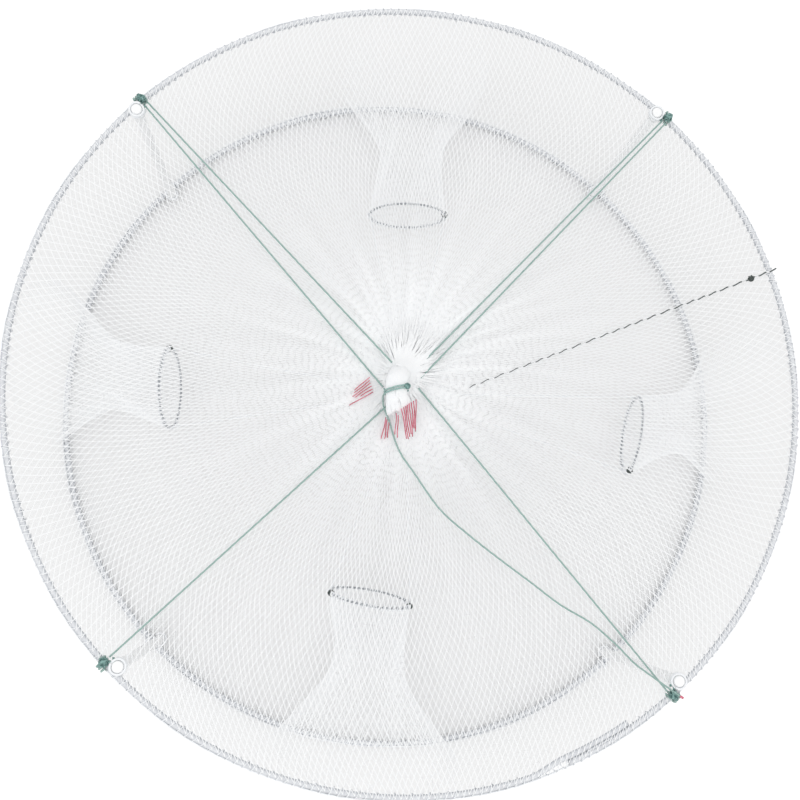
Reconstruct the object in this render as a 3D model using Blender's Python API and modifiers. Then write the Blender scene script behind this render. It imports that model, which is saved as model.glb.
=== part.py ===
"""Folding shrimp trap: two wire rings, four uprights, diamond-mesh nets and four funnel mouths.

Metres, +Z up. The origin is on the ground in the middle of the lower ring. North is +Y and east is
+X. The trap stands on the feet of its uprights and on the cord lashed under the lower ring.
"""
import math

import bmesh
import bpy
import numpy as np
from mathutils import Vector

# Driving dimensions
RING_RADIUS = 0.300
RING_WIRE = 0.004
RING_RISE = 0.160
RING_STEPS = 80
LAP_START_DEG = -68.8
LAP_LENGTH_DEG = 10.0
LAP_JOG_DEG = 6.0
WELD_DIAMETER = 0.0014
WELD_LENGTH = 0.020
UPRIGHT_DIAMETER = 0.008
UPRIGHT_STANDS_PROUD = 0.010
UPRIGHT_EDGE = 0.001
CORD = 0.0018
TWINE = 0.0009
SEAM_CORD = 0.0010
NET_BAR = 0.0012
FUNNEL_WALL = 0.0008
CLEARANCE = 0.0003
COIL_GAP = 0.0005

# Where things stand round the rings, in degrees from east
UPRIGHTS = {"northeast": 48.2, "northwest": 136.9, "southwest": 225.1, "southeast": 310.4}
MOUTHS = {"north": (87.9, 12.5), "west": (175.0, 12.5), "south": (263.8, 14.5), "east": (359.0, 12.5)}
THROATS = {
    "north": {"azimuth": 89.4, "distance": 0.158, "lean": -3.5, "knots": (-1,)},
    "west": {"azimuth": 179.6, "distance": 0.195, "lean": 6.0, "knots": (-1,)},
    "south": {"azimuth": 260.2, "distance": 0.171, "lean": 8.0, "knots": (-1, 1)},
    "east": {"azimuth": 350.5, "distance": 0.199, "lean": -6.0, "knots": (-1,)},
}

# Throat rings and the strings that hold them
THROAT_RADIUS = 0.033
THROAT_WIRE = 0.0022
THROAT_HEIGHT = 0.0845
STAY_KNOT_RADIUS = 0.004
THROAT_STEPS = 24
THROAT_KNOT_TURNS = 2

# Funnels: how square the mouth is, how soon it narrows and how deep its waist is
MOUTH_SQUARENESS = 0.5
FUNNEL_DRAW = 2.2
FUNNEL_WAIST = 0.42

# Nets
TOP_NET_COLUMNS = 18
TOP_NET_HALF_ROWS = 9
TOP_NET_PHASE_DEG = 19.8
FLOOR_NET_COLUMNS = 14
FLOOR_NET_HALF_ROWS = 4
FLOOR_NET_PHASE_DEG = 12.0
WALL_COLUMNS = 4
WALL_HALF_ROWS = 4
HEM_PARTS = 4
GATHER_RADIUS = 0.020
FLOOR_NET_LIFT = 0.0016
FLOOR_GATHER_HEIGHT = 0.0048
GATHER_PROFILE = ((0.0, 1.0), (0.33, 0.9), (0.65, 0.4), (1.0, 0.2), (1.0, 0.0), (0.0, 0.0))

# The seam's azimuth and overhang at the ring, how far short of the gathered net it stops and the
# azimuth of that end seen from the neck, its one knot's distance in from the outer end, and how far
# each side of the knot the seam rises for it
SEAM_AZIMUTH_DEG = 17.6
SEAM_OVERHANG = 0.004
SEAM_STOPS_SHORT = 0.032
SEAM_END_AZIMUTH_DEG = -7.6
SEAM_KNOT_REACH = 0.024
SEAM_KNOT_EASE = 0.012

# The tied neck over the middle of the top net
NECK_X = -0.012
NECK_Y = -0.002
NECK_RISE = 0.0048
SKIRT_RADIUS = 0.0178
NECK_RADIUS = 0.0075
NECK_BEND = 0.010
NECK_LEAN = -0.0055
SKIRT_STEPS = ((0.0, 0.0), (0.30, 0.0), (0.65, 0.0), (1.0, 0.25))
BEND_STEPS = ((30, 0.6), (60, 0.9), (90, 1.0))
TIE_TURNS = 2.5
TIE_REACH = 0.0030

# The gathered net past its bend: distance on, east, drop, half width and half height
FLARE = (
    (0.007, 0.0, 0.0, 0.0075, 0.0075),
    (0.012, 0.0015, 0.001, 0.0090, 0.0080),
    (0.018, 0.0035, 0.003, 0.0105, 0.0075),
    (0.023, 0.0050, 0.005, 0.0105, 0.0065),
)

# Bridle legs: the upright they start at, how far beside it, and the azimuth and height where they
# reach the neck
BRIDLE_LEGS = {
    "northwest_a": ("northwest", 0.0108, 127.0, 0.0060),
    "northwest_b": ("northwest", 0.0075, 211.0, 0.0022),
    "northeast_a": ("northeast", 0.0075, 31.0, 0.0026),
    "northeast_b": ("northeast", 0.0108, -4.0, 0.0034),
    "southwest": ("southwest", 0.0090, 258.0, 0.0026),
    "southeast": ("southeast", 0.0108, -34.0, 0.0026),
}

# The loose tail of the neck cord, as it lies: east, north, and height over the net
TAIL_ROUTE = (
    (-0.0262, -0.0180, 0.0166),
    (-0.0264, -0.0186, 0.0125),
    (-0.0262, -0.0212, 0.0068),
    (-0.0252, -0.0264, 0.0046),
    (-0.0216, -0.0344, 0.0022),
    (-0.0142, -0.0565, 0.0018),
    (-0.0020, -0.0748, 0.0018),
    (0.0164, -0.1003, 0.0018),
    (0.0385, -0.1196, 0.0018),
    (0.0604, -0.1364, 0.0018),
    (0.0830, -0.1530, 0.0018),
    (0.1042, -0.1688, 0.0018),
    (0.1270, -0.1822, 0.0020),
    (0.1450, -0.1976, 0.0024),
    (0.1576, -0.2105, 0.0036),
    (0.1716, -0.2208, 0.0046),
    (0.1848, -0.2300, 0.0046),
    (0.1926, -0.2352, 0.0044),
)
TAIL_POINTS = 60

# Sizes worked out from the driving ones
CORD_R = CORD / 2
LASHING_POINTS = 8
KNOT_POINTS = 6
CHORD_SHARE = math.cos(math.pi / LASHING_POINTS)
TIGHT_RADIUS = (RING_WIRE / 2 / CHORD_SHARE + CLEARANCE + CORD_R) / CHORD_SHARE
LOWER_Z = TIGHT_RADIUS + CORD_R
UPPER_Z = LOWER_Z + RING_RISE
BAR_R = NET_BAR / 2
HEM_LIFT = RING_WIRE / 2 + CLEARANCE + BAR_R
WALL_RADIUS = RING_RADIUS + HEM_LIFT + CLEARANCE
RING_CHORD = RING_RADIUS * (1 - math.cos(math.pi / RING_STEPS))
UPRIGHT_INSET = RING_WIRE / 2 + RING_CHORD + CLEARANCE + UPRIGHT_DIAMETER / 2
WRAP_RADIUS = HEM_LIFT + BAR_R + 2 * CLEARANCE + CORD_R
WRAP_START = UPRIGHT_DIAMETER / 2 + CLEARANCE + CORD_R + CLEARANCE
WRAP_PITCH = CORD + COIL_GAP
COLLAR_RADIUS = UPRIGHT_DIAMETER / 2 + CLEARANCE + CORD_R
MOUTH_RADIUS = RING_RADIUS - RING_WIRE / 2 - CLEARANCE - FUNNEL_WALL / 2


def clear_scene():
    """Empty the file of the objects it opened with."""
    for old in list(bpy.data.objects):
        bpy.data.objects.remove(old, do_unlink=True)


def material(name, colour, roughness, metallic=0.0):
    """A Principled material in one plain colour."""
    made = bpy.data.materials.new(name)
    made.use_nodes = True
    shader = made.node_tree.nodes["Principled BSDF"]
    shader.inputs["Base Color"].default_value = (*colour, 1.0)
    shader.inputs["Roughness"].default_value = roughness
    shader.inputs["Metallic"].default_value = metallic
    return made


def add_object(name, data, finish, parent=None):
    """Put a mesh or curve in the trap's collection under its parent."""
    made = bpy.data.objects.new(name, data)
    made.data.materials.append(finish)
    made.parent = parent
    trap.objects.link(made)
    return made


def add_empty(name, place, parent=None):
    """A frame that pieces of one body hang from, on that body's joint axis."""
    made = bpy.data.objects.new(name, None)
    made.location = place
    made.parent = parent
    trap.objects.link(made)
    return made


def tube_data(name, runs, diameter, level, cyclic=False):
    """A curve of one or more poly splines with a round section and filled caps."""
    curve = bpy.data.curves.new(name, "CURVE")
    curve.dimensions = "3D"
    curve.bevel_depth = diameter / 2
    curve.bevel_resolution = level
    curve.use_fill_caps = True
    for run in runs:
        spline = curve.splines.new("POLY")
        spline.points.add(len(run) - 1)
        for point, place in zip(spline.points, run):
            point.co = (*place, 1.0)
        spline.use_cyclic_u = cyclic
    return curve


def smooth_route(points, count):
    """Even points on a smooth curve through the given ones, a cardinal spline."""
    given = np.array(points)
    ends = np.vstack([2 * given[0] - given[1], given, 2 * given[-1] - given[-2]])
    fine = []
    for i in range(1, len(ends) - 2):
        t = np.linspace(0, 1, 20, endpoint=i == len(ends) - 3)[:, None]
        a, b, c, d = ends[i - 1 : i + 3]
        fine.append(
            0.5 * (2 * b + (c - a) * t + (2 * a - 5 * b + 4 * c - d) * t**2 + (3 * b - a - 3 * c + d) * t**3)
        )
    fine = np.vstack(fine)
    along = np.concatenate([[0], np.cumsum(np.linalg.norm(np.diff(fine, axis=0), axis=1))])
    even = np.linspace(0, along[-1], count)
    return np.column_stack([np.interp(even, along, fine[:, k]) for k in range(3)])


def self_gap(points, diameter):
    """The least gap between parts of a wound tube that lie more than three diameters apart along it."""
    points = np.array(points)
    fine = smooth_route(points, 6 * len(points))
    along = np.concatenate([[0], np.cumsum(np.linalg.norm(np.diff(fine, axis=0), axis=1))])
    apart = np.linalg.norm(fine[:, None] - fine[None], axis=2)
    apart[np.abs(along[:, None] - along[None]) < 3 * diameter] = 1.0
    return apart.min() - diameter


def with_straight_ends(points, length):
    """The same run with each end carried on straight by one length."""
    points = [Vector(p) for p in points]
    first = points[0] + (points[0] - points[1]).normalized() * length
    last = points[-1] + (points[-1] - points[-2]).normalized() * length
    return [first, *points, last]


def polar(radius, degrees, z=0.0):
    """A point from its radius, azimuth and height."""
    turn = math.radians(degrees)
    return Vector((radius * math.cos(turn), radius * math.sin(turn), z))


def closed_ring(name, radius, wire, steps, finish, parent):
    """A wire ring as an octagon profile carried round by a Screw, with one flat of the octagon below."""
    profile = bmesh.new()
    corner = wire / 2 / math.cos(math.pi / 8)
    corners = []
    for k in range(8):
        turn = math.radians(67.5 - 45 * k)
        corners.append(profile.verts.new((radius + corner * math.cos(turn), 0, corner * math.sin(turn))))
    for k in range(8):
        profile.edges.new((corners[k], corners[(k + 1) % 8]))
    mesh = bpy.data.meshes.new(name)
    profile.to_mesh(mesh)
    profile.free()
    made = add_object(name, mesh, finish, parent)
    screw = made.modifiers.new("round the axis", "SCREW")
    screw.steps = steps
    screw.render_steps = steps
    screw.use_merge_vertices = True
    screw.merge_threshold = 0.0001
    screw.use_smooth_shade = True
    return made


def lapped_ring(name, finish, parent):
    """The upper ring: one wire whose last stretch steps inward and lies beside its own start."""
    side_step = RING_WIRE + CLEARANCE
    total = 360 + LAP_LENGTH_DEG
    count = RING_STEPS + 5
    run = []
    for k in range(count):
        turned = total * k / (count - 1)
        stepped = min(max((turned - (360 - LAP_JOG_DEG)) / LAP_JOG_DEG, 0.0), 1.0)
        ease = stepped * stepped * (3 - 2 * stepped)
        run.append(polar(RING_RADIUS - side_step * ease, LAP_START_DEG + turned))
    return add_object(name, tube_data(name, [run], RING_WIRE, 2), finish, parent)


def lap_weld(name, finish, parent):
    """A bead of weld in the groove over the two wires of the lap."""
    between = RING_RADIUS - (RING_WIRE + CLEARANCE) / 2
    reach = RING_WIRE / 2 + CLEARANCE + WELD_DIAMETER / 2
    lift = math.sqrt(reach**2 - ((RING_WIRE + CLEARANCE) / 2) ** 2)
    half = math.degrees(WELD_LENGTH / 2 / between)
    middle = LAP_START_DEG + LAP_LENGTH_DEG / 2
    run = [polar(between, middle + part * half, lift) for part in (-1, 0, 1)]
    return add_object(name, tube_data(name, [run], WELD_DIAMETER, 1), finish, parent)


def net_object(name, surface, half_rows, columns, closed, hems, finish, parent):
    """A knotted net of diamonds, its edges made into bars with a Wireframe modifier.

    surface(row, k) gives a point for a whole row and any k. Odd rows stand half a mesh round, and
    the rows named in hems follow the surface in short steps, so that they lie along a ring.
    """
    bm = bmesh.new()
    knots = []
    for row in range(half_rows + 1):
        odd = row % 2
        count = columns if closed else columns + 1 - odd
        knots.append([bm.verts.new(surface(row, k + 0.5 * odd)) for k in range(count)])

    def knot(row, k):
        return knots[row][k % columns] if closed else knots[row][k]

    def hem(row, k):
        if row not in hems:
            return []
        return [bm.verts.new(surface(row, k + part / HEM_PARTS)) for part in range(1, HEM_PARTS)]

    for k in range(columns):
        bm.faces.new((knot(0, k), *hem(0, k), knot(0, k + 1), knot(1, k)))
        last = (knot(half_rows, k), *hem(half_rows, k), knot(half_rows, k + 1))
        bm.faces.new((*last, knot(half_rows - 1, k + half_rows % 2)))
    for row in range(1, half_rows):
        odd = row % 2
        across = columns - 1 if odd and not closed else columns
        for k in range(across):
            far = knot(row, k + 1)
            between = k + odd
            bm.faces.new((knot(row - 1, between), far, knot(row + 1, between), knot(row, k)))
        if odd and not closed:
            bm.faces.new((knot(row - 1, 0), knot(row, 0), knot(row + 1, 0)))
            bm.faces.new((knot(row + 1, columns), knot(row, columns - 1), knot(row - 1, columns)))
    bmesh.ops.recalc_face_normals(bm, faces=bm.faces)
    mesh = bpy.data.meshes.new(name)
    bm.to_mesh(mesh)
    bm.free()
    made = add_object(name, mesh, finish, parent)
    bars = made.modifiers.new("bars", "WIREFRAME")
    bars.thickness = NET_BAR
    bars.offset = 0
    bars.use_replace = True
    bars.use_boundary = True
    bars.use_even_offset = True
    return made


def top_net_height(x, y):
    """The top net's height over the upper ring's centre at a place."""
    start = Vector((NECK_X, NECK_Y))
    way = Vector((x, y)) - start
    a = way.length_squared
    b = 2 * start.dot(way)
    c = start.length_squared - RING_RADIUS**2
    reach = (-b + math.sqrt(b * b - 4 * a * c)) / (2 * a)
    return NECK_RISE + (HEM_LIFT - NECK_RISE) / reach


def top_net(finish, parent):
    """A shallow cone of diamonds that narrow towards the neck."""

    def surface(row, k):
        share = (GATHER_RADIUS / RING_RADIUS) ** (row / TOP_NET_HALF_ROWS)
        neck = Vector((NECK_X, NECK_Y, NECK_RISE))
        return neck.lerp(polar(RING_RADIUS, TOP_NET_PHASE_DEG + 360 * k / TOP_NET_COLUMNS, HEM_LIFT), share)

    return net_object("top_net", surface, TOP_NET_HALF_ROWS, TOP_NET_COLUMNS, True, (0,), finish, parent)


def floor_net(finish, parent):
    """A flat net whose hem climbs onto the lower ring."""

    def surface(row, k):
        radius = RING_RADIUS * (GATHER_RADIUS / RING_RADIUS) ** (row / FLOOR_NET_HALF_ROWS)
        height = FLOOR_NET_LIFT - LOWER_Z if row else HEM_LIFT
        return polar(radius, FLOOR_NET_PHASE_DEG + 360 * k / FLOOR_NET_COLUMNS, height)

    return net_object("floor_net", surface, FLOOR_NET_HALF_ROWS, FLOOR_NET_COLUMNS, True, (0,), finish, parent)


def wall_net(name, start, end, finish, parent):
    """An upright panel of net from one mouth to the next, laced outside both rings."""
    step = (end - start) / WALL_COLUMNS

    def surface(row, k):
        return polar(WALL_RADIUS, start + step * k, RING_RISE * row / WALL_HALF_ROWS)

    return net_object(name, surface, WALL_HALF_ROWS, WALL_COLUMNS, False, (0, WALL_HALF_ROWS), finish, parent)


def loft_mesh(name, sections, capped):
    """Quads between equal loops of points, with an end face at each end where capped."""
    bm = bmesh.new()
    loops = [[bm.verts.new(p) for p in section] for section in sections]
    around = len(loops[0])
    for near, far in zip(loops, loops[1:]):
        for k in range(around):
            after = (k + 1) % around
            bm.faces.new((near[k], near[after], far[after], far[k]))
    if capped:
        bm.faces.new(list(reversed(loops[0])))
        bm.faces.new(loops[-1])
    bmesh.ops.recalc_face_normals(bm, faces=bm.faces)
    mesh = bpy.data.meshes.new(name)
    bm.to_mesh(mesh)
    bm.free()
    return mesh


def throat_frame(place):
    """A throat ring's centre in the trap's frame, with its sideways, upward and outward directions."""
    out = polar(1, place["azimuth"])
    side = polar(1, place["azimuth"] + 90)
    lean = math.radians(place["lean"])
    up = Vector((0, 0, 1)) * math.cos(lean) + out * math.sin(lean)
    normal = side.cross(up)
    return polar(place["distance"], place["azimuth"], THROAT_HEIGHT), side, up, normal


def funnel(name, mouth, place, finish):
    """A trumpet of net from a tall mouth on the wall, through a narrow waist, to the round throat ring."""
    azimuth, half_angle = mouth
    low = LOWER_Z + HEM_LIFT + BAR_R + 2 * CLEARANCE
    high = UPPER_Z
    middle = polar(MOUTH_RADIUS, azimuth, (low + high) / 2)
    centre, side, up, normal = throat_frame(place)
    end = centre + normal * (THROAT_WIRE / 2 + CLEARANCE + TWINE + CLEARANCE + FUNNEL_WALL / 2)
    around = 12
    stations = 5
    sections = []
    for station in range(stations + 1):
        t = station / stations
        narrow = 1 - (1 - t) ** FUNNEL_DRAW
        waist = 1 - FUNNEL_WAIST * math.sin(math.pi * t) ** 2
        section = []
        for k in range(around):
            turn = 2 * math.pi * (k + 0.5) / around
            across = math.copysign(abs(math.cos(turn)) ** MOUTH_SQUARENESS, math.cos(turn))
            along = math.copysign(abs(math.sin(turn)) ** MOUTH_SQUARENESS, math.sin(turn))
            rim = polar(MOUTH_RADIUS, azimuth + half_angle * across, middle.z + (high - low) / 2 * along)
            round_end = (side * math.cos(turn) + up * math.sin(turn)) * THROAT_RADIUS * waist
            place_on_axis = middle.lerp(end, t)
            section.append(place_on_axis + (rim - middle) * (1 - narrow) + round_end * narrow)
        sections.append(section)
    made = add_object(name, loft_mesh(name, sections, False), finish)
    wall = made.modifiers.new("net thickness", "SOLIDIFY")
    wall.thickness = FUNNEL_WALL
    wall.offset = 0
    return made


def lashing_run(ring_turns, collar_turns):
    """Cord wound round the ring wire and its hems, then up and round the upright.

    In the lashing's own frame x points out of the trap, y runs along the ring and z is up. The ring
    turns lie on the clockwise side of the upright. They are wide where the hems lie, outside and over
    the wire, and tight inside and under it.
    """
    run = []
    steps = ring_turns * LASHING_POINTS
    for k in range(steps + 1):
        left = (steps - k) / LASHING_POINTS
        turn = math.radians(90 - 360 * left)
        out = math.cos(turn)
        over = math.sin(turn)
        x = out * (WRAP_RADIUS if out > 0 else TIGHT_RADIUS)
        z = over * (WRAP_RADIUS if over > 0 else TIGHT_RADIUS)
        run.append((x, -WRAP_START - WRAP_PITCH * left, z))
    for k in range(collar_turns * LASHING_POINTS + 1):
        done = k / LASHING_POINTS
        turn = math.radians(90 + 360 * done)
        x = -UPRIGHT_INSET + COLLAR_RADIUS * math.cos(turn)
        run.append((x, -COLLAR_RADIUS * math.sin(turn), WRAP_RADIUS + WRAP_PITCH * done))
    return with_straight_ends(run, CORD)


def lashing(name, azimuth, ring_turns, collar_turns, finish, parent):
    """One lashing, set at its upright."""
    run = lashing_run(ring_turns, collar_turns)
    made = add_object(name, tube_data(name, [run], CORD, 0), finish, parent)
    made.location = polar(RING_RADIUS, azimuth)
    made.rotation_euler.z = math.radians(azimuth)
    print(f"{name}: least gap to itself {1000 * self_gap(run, CORD):.2f} mm")
    return made


def upright(name, azimuth, finish):
    """A plastic rod with eased ends. Its foot is on the ground and its tip stands over the upper ring."""
    length = UPPER_Z + UPRIGHT_STANDS_PROUD
    bm = bmesh.new()
    bmesh.ops.create_cone(
        bm,
        cap_ends=True,
        segments=12,
        radius1=UPRIGHT_DIAMETER / 2,
        radius2=UPRIGHT_DIAMETER / 2,
        depth=length,
    )
    bmesh.ops.translate(bm, verts=bm.verts, vec=(0, 0, length / 2))
    mesh = bpy.data.meshes.new(name)
    bm.to_mesh(mesh)
    bm.free()
    made = add_object(name, mesh, finish)
    made.location = polar(RING_RADIUS - UPRIGHT_INSET, azimuth)
    eased = made.modifiers.new("eased ends", "BEVEL")
    eased.width = UPRIGHT_EDGE
    eased.segments = 1
    eased.limit_method = "ANGLE"
    return made


def skirt_radius(height):
    """The neck's radius at a height over the upper ring: a cone of gathered net."""
    top = NECK_RISE + NECK_BEND
    share = min(max((height - NECK_RISE) / (top - NECK_RISE), 0.0), 1.0)
    return SKIRT_RADIUS + (NECK_RADIUS - SKIRT_RADIUS) * share**0.6


def neck_path():
    """Stations of the neck: centre, direction, half width and half height of each section."""
    bend_z = NECK_RISE + NECK_BEND
    stations = []
    for share, lean in SKIRT_STEPS:
        height = NECK_RISE + NECK_BEND * share if share else NECK_RISE - BAR_R
        radius = skirt_radius(height)
        stations.append((Vector((NECK_X + NECK_LEAN * lean, NECK_Y, height)), Vector((0, 0, 1)), radius, radius))
    for degrees, lean in BEND_STEPS:
        turn = math.radians(degrees)
        back = NECK_BEND * (1 - math.cos(turn))
        centre = Vector((NECK_X + NECK_LEAN * lean, NECK_Y - back, bend_z + NECK_BEND * math.sin(turn)))
        stations.append((centre, Vector((0, -math.sin(turn), math.cos(turn))), NECK_RADIUS, NECK_RADIUS))
    crest = stations[-1][0]
    for reach, east, drop, wide, tall in FLARE:
        stations.append((crest + Vector((east, -reach, -drop)), Vector((0, -1, 0)), wide, tall))
    return stations


def neck_bundle(finish, parent):
    """The gathered net: it rises out of the top net, bends over through the tie and flares."""
    around = 12
    east = Vector((1, 0, 0))
    sections = []
    for centre, way, wide, tall in neck_path():
        over = east.cross(way)
        sections.append(
            [
                centre + east * wide * math.cos(2 * math.pi * k / around) + over * tall * math.sin(2 * math.pi * k / around)
                for k in range(around)
            ]
        )
    return add_object("neck_bundle", loft_mesh("neck_bundle", sections, True), finish, parent)


def tie_middle():
    """The middle of the neck tie, on the level stretch of the neck."""
    return Vector((NECK_X + NECK_LEAN, NECK_Y - NECK_BEND - TIE_REACH, NECK_RISE + 2 * NECK_BEND))


def neck_tie(finish, parent):
    """Cord wound round the level stretch of the neck."""
    per_turn = 12
    steps = round(TIE_TURNS * per_turn)
    radius = NECK_RADIUS + CLEARANCE + CORD_R
    run = []
    for k in range(steps + 1):
        done = k / per_turn
        turn = math.radians(360 * done)
        run.append(
            tie_middle()
            + Vector(
                (radius * math.cos(turn), (TIE_TURNS / 2 - done) * WRAP_PITCH, radius * math.sin(turn))
            )
        )
    run = with_straight_ends(run, CORD)
    print(f"neck_tie: least gap to itself {1000 * self_gap(run, CORD):.2f} mm")
    return add_object("neck_tie", tube_data("neck_tie", [run], CORD, 1), finish, parent)


def bridle_leg(name, corner, beside, reach_from, rise, finish, parent):
    """One bridle leg, straight from the ring knot to the foot of the neck."""
    azimuth = UPRIGHTS[corner]
    out = polar(1, azimuth)
    start = polar(RING_RADIUS, azimuth, HEM_LIFT + BAR_R + CLEARANCE + CORD_R)
    start += polar(1, azimuth - 90) * beside - out * (WRAP_RADIUS + CORD_R + CLEARANCE)
    end_height = NECK_RISE + rise
    end_reach = skirt_radius(end_height - CORD_R) + CORD_R + CLEARANCE
    end = Vector((NECK_X, NECK_Y, end_height)) + polar(end_reach, reach_from)
    run = [start.lerp(end, share) for share in (0, 0.25, 0.5, 0.75, 1)]
    return add_object(name, tube_data(name, [run], CORD, 1), finish, parent)


def tail_cord(finish, parent):
    """The loose end of the neck cord, lying over the top net."""
    rests = BAR_R + CLEARANCE + CORD_R
    route = [(x, y, top_net_height(x, y) + lift + rests - CORD_R) for x, y, lift in TAIL_ROUTE]
    run = smooth_route(route, TAIL_POINTS)
    length = np.linalg.norm(np.diff(run, axis=0), axis=1).sum()
    print(f"tail_cord: {1000 * length:.1f} mm long")
    return add_object("tail_cord", tube_data("tail_cord", [run], CORD, 2), finish, parent)


def seam_ends():
    """The seam's outer end past the ring and its inner end beside the neck, in plan."""
    outer = polar(RING_RADIUS + SEAM_OVERHANG, SEAM_AZIMUTH_DEG)
    neck = Vector((NECK_X, NECK_Y, 0))
    inner = neck + polar(GATHER_RADIUS + SEAM_STOPS_SHORT, SEAM_END_AZIMUTH_DEG)
    return outer, inner


def seam_point(reach):
    """A point of the seam's centre line, lying on the top net and rising over its knot."""
    outer, inner = seam_ends()
    place = outer + (inner - outer).normalized() * reach
    rise = (SEAM_CORD + 3 * CLEARANCE) * math.exp(-(((reach - SEAM_KNOT_REACH) / SEAM_KNOT_EASE) ** 4))
    place.z = top_net_height(place.x, place.y) + BAR_R + CLEARANCE + SEAM_CORD / 2 + rise
    return place


def seam_cord(finish, parent):
    """The dark twine that closes the top net, from the ring towards the neck."""
    outer, inner = seam_ends()
    length = (inner - outer).length
    run = [seam_point(length * k / 36) for k in range(37)]
    return add_object("seam_cord", tube_data("seam_cord", [run], SEAM_CORD, 1), finish, parent)


def wound_on(centres, sideways, upward, radius, turns, per_turn):
    """A coil round a short centre line, from the line's start to its end."""
    steps = round(turns * per_turn)
    run = []
    for k in range(steps + 1):
        turn = 2 * math.pi * k / per_turn
        run.append(
            centres(k / steps) + sideways(k / steps) * radius * math.cos(turn) + upward * radius * math.sin(turn)
        )
    return run


def seam_knot(finish, parent):
    """A small knot of the seam's own twine, near the ring."""
    outer, inner = seam_ends()
    way = (inner - outer).normalized()
    turns = 3
    radius = (SEAM_CORD + CLEARANCE) / math.cos(math.pi / KNOT_POINTS)
    length = turns * (SEAM_CORD + COIL_GAP)
    start = seam_point(SEAM_KNOT_REACH - length / 2)
    side = Vector((-way.y, way.x, 0))
    run = wound_on(lambda s: start + way * length * s, lambda s: side, Vector((0, 0, 1)), radius, turns, KNOT_POINTS)
    run = with_straight_ends(run, SEAM_CORD)
    print(f"seam_knot: least gap to itself {1000 * self_gap(run, SEAM_CORD):.2f} mm")
    return add_object("seam_knot", tube_data("seam_knot", [run], SEAM_CORD, 0), finish, parent)


def throat_ring(name, place, finish, parent):
    """A small wire ring that holds the funnel's inner end open."""
    _, side, up, _ = throat_frame(place)
    run = []
    for k in range(THROAT_STEPS):
        turn = 2 * math.pi * k / THROAT_STEPS
        run.append((side * math.cos(turn) + up * math.sin(turn)) * THROAT_RADIUS)
    return add_object(name, tube_data(name, [run], THROAT_WIRE, 1, cyclic=True), finish, parent)


def throat_knot(name, place, hand, finish, parent):
    """Dark twine wound on the throat ring beside one end of its hinge line."""
    _, side, up, normal = throat_frame(place)
    radius = (THROAT_WIRE / 2 + CLEARANCE + TWINE / 2) / math.cos(math.pi / KNOT_POINTS)
    span = THROAT_KNOT_TURNS * (TWINE + COIL_GAP) / THROAT_RADIUS
    corner = 2 * math.pi / THROAT_STEPS

    def outward(share):
        turn = corner + span * (share - 0.5)
        return side * hand * math.cos(turn) + up * math.sin(turn)

    def centre(share):
        return outward(share) * THROAT_RADIUS

    run = wound_on(centre, outward, normal, radius, THROAT_KNOT_TURNS, KNOT_POINTS)
    run = with_straight_ends(run, TWINE)
    print(f"{name}: least gap to itself {1000 * self_gap(run, TWINE):.2f} mm")
    return add_object(name, tube_data(name, [run], TWINE, 0), finish, parent)


def stay(name, place, hand, finish, parent):
    """A string from one end of a throat ring's hinge line to the knot in the middle of the trap.

    It ends just over the hinge line, so that the ring can tip flat beneath it.
    """
    centre, side, _, _ = throat_frame(place)
    lift = Vector((0, 0, THROAT_WIRE / 2 + TWINE / 2 + CLEARANCE))
    tied = centre - parent.location + side * THROAT_RADIUS * hand
    hub = Vector((0, 0, THROAT_HEIGHT)) - parent.location
    inward = (hub - tied).normalized()
    start = tied + inward * THROAT_WIRE + lift
    end = hub - inward * (STAY_KNOT_RADIUS + CLEARANCE)
    run = [start.lerp(end, share) for share in (0, 0.5, 1)]
    return add_object(name, tube_data(name, [run], TWINE, 1), finish, parent)


def stay_knot(finish, parent):
    """The lump where all the strings are tied together."""
    bm = bmesh.new()
    bmesh.ops.create_uvsphere(bm, u_segments=10, v_segments=6, radius=STAY_KNOT_RADIUS)
    mesh = bpy.data.meshes.new("stay_knot")
    bm.to_mesh(mesh)
    bm.free()
    made = add_object("stay_knot", mesh, finish, parent)
    made.location = Vector((0, 0, THROAT_HEIGHT)) - parent.location
    return made


def floor_gather(finish, parent):
    """The tied middle of the floor net: a low turned button."""
    rim = GATHER_RADIUS - 2 * BAR_R - CLEARANCE
    foot = FLOOR_NET_LIFT - BAR_R - LOWER_Z
    bm = bmesh.new()
    corners = [bm.verts.new((rim * out, 0, foot + FLOOR_GATHER_HEIGHT * up)) for out, up in GATHER_PROFILE]
    for near, far in zip(corners, corners[1:]):
        bm.edges.new((near, far))
    mesh = bpy.data.meshes.new("floor_gather")
    bm.to_mesh(mesh)
    bm.free()
    made = add_object("floor_gather", mesh, finish, parent)
    screw = made.modifiers.new("round the axis", "SCREW")
    screw.steps = 20
    screw.render_steps = 20
    screw.use_merge_vertices = True
    screw.merge_threshold = 0.0001
    return made


def build_lower_frame():
    """The lower ring with the floor net and the lashings that hold the uprights' feet."""
    frame = add_empty("lower_frame", (0, 0, LOWER_Z))
    closed_ring("lower_ring", RING_RADIUS, RING_WIRE, RING_STEPS, steel, frame)
    floor_net(white_net, frame)
    floor_gather(white_net, frame)
    for corner, azimuth in UPRIGHTS.items():
        lashing(f"lower_lashing_{corner}", azimuth, 2, 1, green_cord, frame)
    corners = list(UPRIGHTS)
    order = ["east", "north", "west", "south", "east"]
    for corner, before, after in zip(corners, order, order[1:]):
        start = MOUTHS[before][0] + MOUTHS[before][1]
        end = MOUTHS[after][0] - MOUTHS[after][1]
        wall_net(f"wall_net_{corner}", start, end + 360 * (end < start), white_net, frame)


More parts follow.
